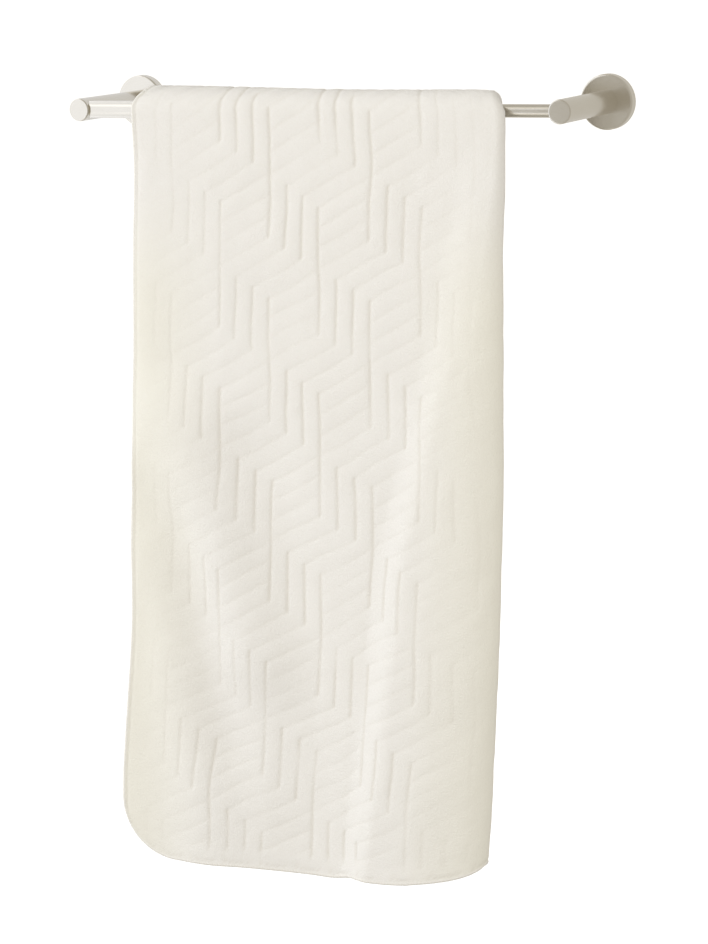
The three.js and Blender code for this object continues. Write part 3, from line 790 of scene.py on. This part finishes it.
def terry_finish():
    """Short looped pile: round loops, small tufts, and patches where it lies differently."""
    finish = Finish("white_terry", {
        "Roughness": 0.92, "Specular IOR Level": 0.15, "Sheen Weight": 0.25,
        "Sheen Roughness": 0.5, "Sheen Tint": (1, 0.98, 0.93, 1),
    })
    place = cloth_place(finish)
    # This attribute is the share of painted shade in the grooves and along the sewn line.
    groove_and_painted_shade = finish.node("ShaderNodeAttribute", {"attribute_name": "groove_and_painted_shade"}, [], "Fac")
    patches = cloud_of(finish, place, PATCH_SIZE, 2.0)
    tufts = cloud_of(finish, place, TUFT_SIZE, 2.0)
    loops = finish.node("ShaderNodeTexVoronoi", {"feature": "F1"}, {
        "Vector": place, "Scale": 1 / LOOP_SIZE,
    })
    worn = PATCH_SHARE * patches + TUFT_SHARE * tufts
    white = finish.blend(worn, TERRY_TOP, TERRY_WORN)
    # Painted warm shade along both sides of the panel.
    painted_warm_shade = finish.node("ShaderNodeAttribute", {"attribute_name": "painted_warm_shade"}, [], "Fac")
    colour = finish.blend(PAINTED_WARM_SHADE_SHARE * painted_warm_shade, white, TERRY_PAINTED_WARM_SHADE)
    # Painted shade: darker in the grooves and in the gaps between the loops.
    painted_shade_share = GROOVE_SHADE * groove_and_painted_shade + LOOP_SHADE * loops
    finish.surface("Base Color", finish.blend(painted_shade_share, colour, TERRY_PAINTED_SHADE))
    finish.surface("Roughness", 0.8 + 0.18 * loops)
    soft = finish.node("ShaderNodeBump", {}, {
        "Strength": 0.5, "Distance": TUFT_HEIGHT, "Height": tufts,
    })
    finish.surface("Normal", finish.node("ShaderNodeBump", {}, {
        "Strength": 0.6, "Distance": LOOP_HEIGHT, "Height": 1 - loops, "Normal": soft,
    }))
    return finish.material


towel = finished("terry_towel", terry_sheet())
towel.data.materials.append(terry_finish())
on_towel(towel)
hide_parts("bath_towel")

# Edge binding
# A narrow soft roll of the same yarn, sewn all round the cut edge of the cloth. The fine
# groove along its inner side, where it is sewn down, is part of the towel's faces.
BINDING_WIDTH = 4.4
BINDING_THICK = 4.8
BINDING_STEP = 3
BINDING_SIDES = 12
BINDING_MERGE = 0.02 * MM


def edge_line():
    """The sheet's edge once round: places, and the direction in which the cloth ends there."""
    radius = CLOTH_CORNER
    corners = (
        (CLOTH_WIDTH - radius, radius, -90), (CLOTH_WIDTH - radius, CLOTH_LENGTH - radius, 0),
        (radius, CLOTH_LENGTH - radius, 90), (radius, radius, 180),
    )
    places = []
    aways = []
    steps = math.ceil(math.pi / 2 * radius / BINDING_STEP)
    following = corners[1:] + corners[:1]
    for (width, length, turn), (next_width, next_length, _) in zip(corners, following):
        for step in range(steps):
            angle = math.radians(turn + 90 * step / steps)
            away = np.array([math.cos(angle), math.sin(angle)])
            places.append(np.array([width, length]) + away * radius)
            aways.append(away)
        angle = math.radians(turn + 90)
        away = np.array([math.cos(angle), math.sin(angle)])
        start = np.array([width, length]) + away * radius
        end = np.array([next_width, next_length]) + away * radius
        count = math.ceil(np.linalg.norm(end - start) / BINDING_STEP)
        for step in range(count):
            places.append(start + (end - start) * step / count)
            aways.append(away)
    return np.array(places), np.array(aways)


def binding_roll():
    """The binding as a closed ring, its section swept along the edge of the cloth."""
    places, aways = edge_line()
    count = len(places)
    bm = bmesh.new()
    for name in ("along_edge", "around_roll"):
        bm.verts.layers.float.new(name)
    along_edge = bm.verts.layers.float["along_edge"]
    around_roll = bm.verts.layers.float["around_roll"]
    grid = bmesh.ops.create_grid(bm, x_segments=count, y_segments=BINDING_SIDES, size=0.5)
    verts = grid["verts"]
    flat = np.array([vert.co for vert in verts])
    ring = np.rint((flat[:, 0] + 0.5) * count).astype(int) % count
    turn = (flat[:, 1] + 0.5) * 2 * math.pi
    seams = places - aways * BINDING_WIDTH / 2
    along_width, along_length, out = cloth_frame(seams[ring, 0], seams[ring, 1])
    outward = unit(along_width * aways[ring, :1] + along_length * aways[ring, 1:])
    centre = cloth_point(seams[ring, 0], seams[ring, 1])
    wide = (BINDING_WIDTH / 2) * np.cos(turn)
    high = (BINDING_THICK / 2) * np.sin(turn)
    hung(verts, centre + outward * wide[:, None] + out * high[:, None])
    for vert, along, angle in zip(verts, ring * BINDING_STEP * MM, turn):
        vert[along_edge] = along
        vert[around_roll] = math.sin(angle)
    bmesh.ops.remove_doubles(bm, verts=bm.verts, dist=BINDING_MERGE)
    bmesh.ops.recalc_face_normals(bm, faces=bm.faces)
    return bm


# The binding's colour is painted lighter on the tops of its stitches and in shade between them; its
# fibres also vary it at random.
BINDING_LIT_AND_PALE = (0.885, 0.872, 0.835, 1)
BINDING_SHADE = (0.83, 0.805, 0.75, 1)
STITCH_PITCH = 2.6 * MM
YARN_HEIGHT = 0.25 * MM
FIBRE_SIZE = 2 * MM
STITCH_LEAN = 1.2
YARN_PALE = 0.25
PAINTED_STITCH_SHADE = 0.45
FIBRE_SHARE = 0.3


def binding_finish():
    """Yarn wound slantwise round the edge, one close stitch after another."""
    finish = Finish("binding_yarn", {
        "Roughness": 0.85, "Specular IOR Level": 0.2, "Sheen Weight": 0.15,
    })
    along = finish.node("ShaderNodeAttribute", {"attribute_name": "along_edge"}, [], "Fac")
    around = finish.node("ShaderNodeAttribute", {"attribute_name": "around_roll"}, [], "Fac")
    phase = (2 * math.pi / STITCH_PITCH) * along + STITCH_LEAN * around
    wave = 0.5 + 0.5 * finish.node("ShaderNodeMath", {"operation": "SINE"}, [phase])
    place = finish.node("ShaderNodeTexCoord", {}, [], "Object")
    fibre = cloud_of(finish, place, FIBRE_SIZE, 2.0)
    # Painted shade in the dips between the stitches and painted light on their tops, with a random
    # tone from the fibres.
    painted_light_and_fibre = YARN_PALE + PAINTED_STITCH_SHADE * wave + FIBRE_SHARE * fibre
    finish.surface("Base Color", finish.blend(painted_light_and_fibre, BINDING_SHADE, BINDING_LIT_AND_PALE))
    finish.surface("Roughness", 0.75 + 0.2 * fibre)
    finish.surface("Normal", finish.node("ShaderNodeBump", {}, {
        "Strength": 0.6, "Distance": YARN_HEIGHT, "Height": wave + 0.4 * fibre,
    }))
    return finish.material


binding = finished("binding_roll", binding_roll())
binding.data.materials.append(binding_finish())
on_towel(binding)
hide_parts("edge_binding")

# Studio
# A pale floor well below the towel, a large soft light from the upper left with two weaker
# ones from the left and the right, five pale cards for glossy reflections, and the camera.
FLOOR_DROP = 1.25
FLOOR_REACH = 200
FLOOR_GLOW = 0.6
WORLD_COLOUR = (1, 0.963, 0.895, 1)
WORLD_GLOW = 0.56
floor_mesh = bmesh.new()
bmesh.ops.create_grid(floor_mesh, x_segments=1, y_segments=1, size=FLOOR_REACH)
bmesh.ops.translate(floor_mesh, verts=floor_mesh.verts, vec=(0, 0, -FLOOR_DROP))
floor = finished("floor", floor_mesh)
FLOOR_PAINT = Finish("floor_paint", {
    "Roughness": 0.9, "Base Color": (0.93, 0.93, 0.93, 1),
    "Emission Color": (1, 1, 1, 1), "Emission Strength": FLOOR_GLOW,
})
floor.data.materials.append(FLOOR_PAINT.material)
floor.visible_diffuse = False
floor.visible_glossy = False
bpy.context.scene.view_settings.view_transform = "Standard"

world = bpy.data.worlds.new("studio")
bpy.context.scene.world = world
world.use_nodes = True
background = world.node_tree.nodes["Background"]
background.inputs["Color"].default_value = WORLD_COLOUR
background.inputs["Strength"].default_value = WORLD_GLOW


def soft_light(name, place, target, size, power, colour):
    """A square light that shines on the pieces and isn't seen in glossy reflections."""
    light = bpy.data.lights.new(name, "AREA")
    light.shape = "SQUARE"
    light.size = size
    light.energy = power
    light.color = colour
    lamp = bpy.data.objects.new(name, light)
    lamp.location = place
    aim = Vector(target) - Vector(place)
    lamp.rotation_euler = aim.to_track_quat("-Z", "Y").to_euler()
    lamp.visible_glossy = False
    bpy.context.scene.collection.objects.link(lamp)
    return lamp


def mirrored_card(name, place, target, size, glow, colour):
    """A pale card seen only in glossy reflections, so it shapes the look of the nickel."""
    card = soft_light(name, place, target, size, glow * math.pi * size**2, colour)
    card.visible_glossy = True
    card.visible_diffuse = False
    card.visible_camera = False


TOWEL_MIDDLE = (0, -0.1, -0.35)
LEFT_OF_ROOM = (-0.31, -1, 0)
RIGHT_OF_ROOM = (0.31, -1, 0)
SLIM_TUBE = (0.2, -0.1, 0)
COOL_LIGHT = (0.95, 0.97, 1)
WARM_LIGHT = (1, 0.96, 0.88)
COOL_CARD = (0.79, 0.85, 1)
WARM_CARD = (1, 0.99, 0.965)
soft_light("key", (-2.6, -1.9, 0.75), TOWEL_MIDDLE, 2.2, 55, COOL_LIGHT)
soft_light("side", (-3, -0.5, 0.4), TOWEL_MIDDLE, 1.6, 10, COOL_LIGHT)
soft_light("fill", (1.7, -2.2, 0.3), TOWEL_MIDDLE, 1.6, 19, WARM_LIGHT)
mirrored_card("side_card", (-1.5, -1.2, 0), (0, -1.2, 0), 4.8, 0.88, COOL_CARD)
mirrored_card("left_wall_card", (-0.31, 0.012, 0), LEFT_OF_ROOM, 0.5, 0.35, COOL_CARD)
mirrored_card("right_wall_card", (0.31, 0.012, 0), RIGHT_OF_ROOM, 0.5, 0.12, WARM_CARD)
mirrored_card("top_card", (-1.2, -1.6, 2.2), SLIM_TUBE, 1.6, 0.4, WARM_CARD)
mirrored_card("low_card", (-0.57, -1.3, -1.4), SLIM_TUBE, 1, 0.4, WARM_CARD)

# The camera looks at the bar from the right and a little above, through a long lens
CAMERA_PLACE = (1.0236, -2.0794, 0.15705)
CAMERA_YAW = 0.4672
CAMERA_PITCH = 0.20924
CAMERA_ROLL = -0.03218
FRAME_HEIGHT = 944
FOCAL_PIXELS = 2600
SENSOR_WIDTH = 36
ahead = Vector((
    -math.sin(CAMERA_YAW) * math.cos(CAMERA_PITCH),
    math.cos(CAMERA_YAW) * math.cos(CAMERA_PITCH),
    -math.sin(CAMERA_PITCH),
))
level_right = Vector((math.cos(CAMERA_YAW), math.sin(CAMERA_YAW), 0))
level_up = level_right.cross(ahead)
right = level_right * math.cos(CAMERA_ROLL) + level_up * math.sin(CAMERA_ROLL)
up = level_up * math.cos(CAMERA_ROLL) - level_right * math.sin(CAMERA_ROLL)
lens = bpy.data.cameras.new("camera")
lens.sensor_width = SENSOR_WIDTH
lens.lens = SENSOR_WIDTH * FOCAL_PIXELS / FRAME_HEIGHT
camera = bpy.data.objects.new("camera", lens)
camera.matrix_world = Matrix.Translation(CAMERA_PLACE) @ Matrix(
    (right, up, -ahead)).transposed().to_4x4()
bpy.context.scene.collection.objects.link(camera)
bpy.context.scene.camera = camera
